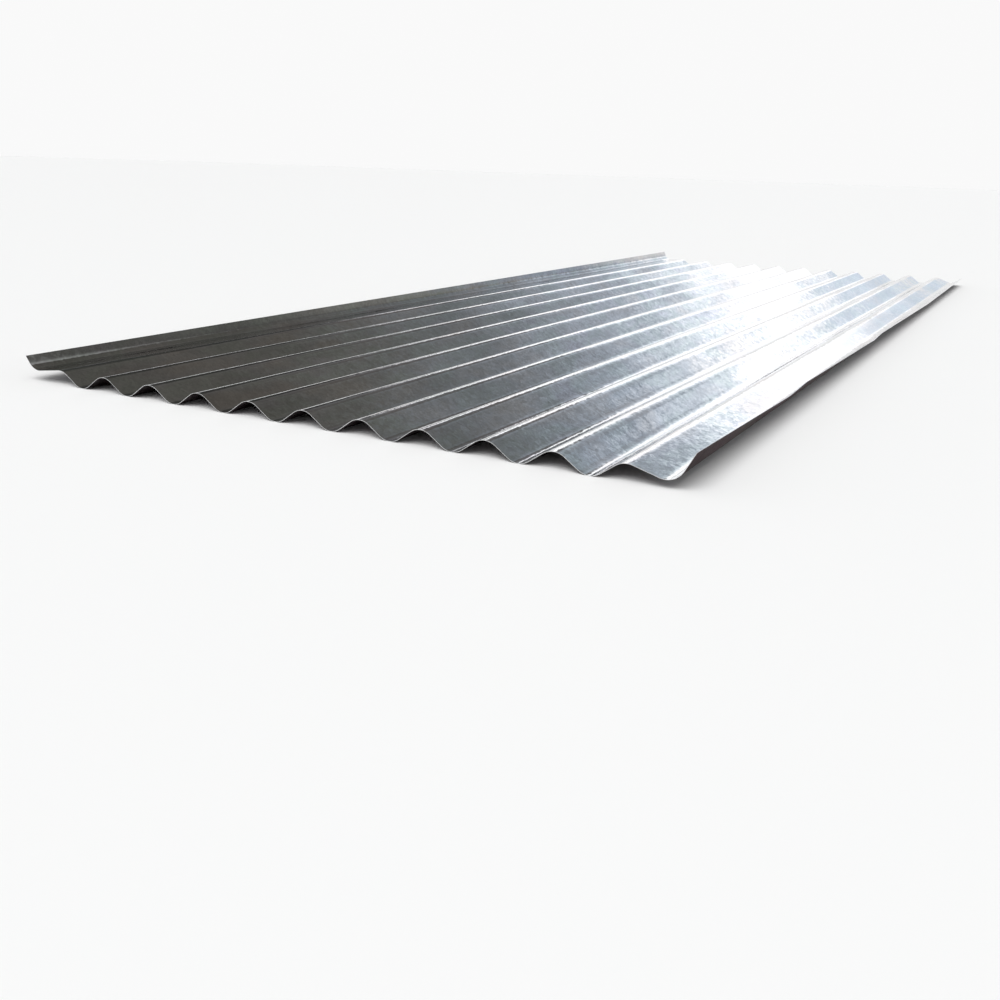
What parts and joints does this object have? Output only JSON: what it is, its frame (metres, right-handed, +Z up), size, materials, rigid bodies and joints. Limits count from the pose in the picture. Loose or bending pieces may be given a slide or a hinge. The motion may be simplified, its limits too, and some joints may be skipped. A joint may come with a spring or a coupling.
{
  "type": "corrugated metal sheet",
  "caption": "Galvanised corrugated roofing sheet with round tangent waves along its length and both long edges sprung up; it sheds rain, clads walls and nests with others.",
  "frame": {"origin": "middle of the sheet's length and width, at floor level under its troughs", "axes": "+Y along the waves, +X across them towards the edge that is sprung up most at the near end, +Z up"},
  "size_m": [0.8876, 2.4, 0.0391],
  "materials": {
    "galvanised_steel": "satin"
  },
  "bodies": {
    "root": {"corrugated_sheet": "galvanised_steel"}
  },
  "joints": []
}
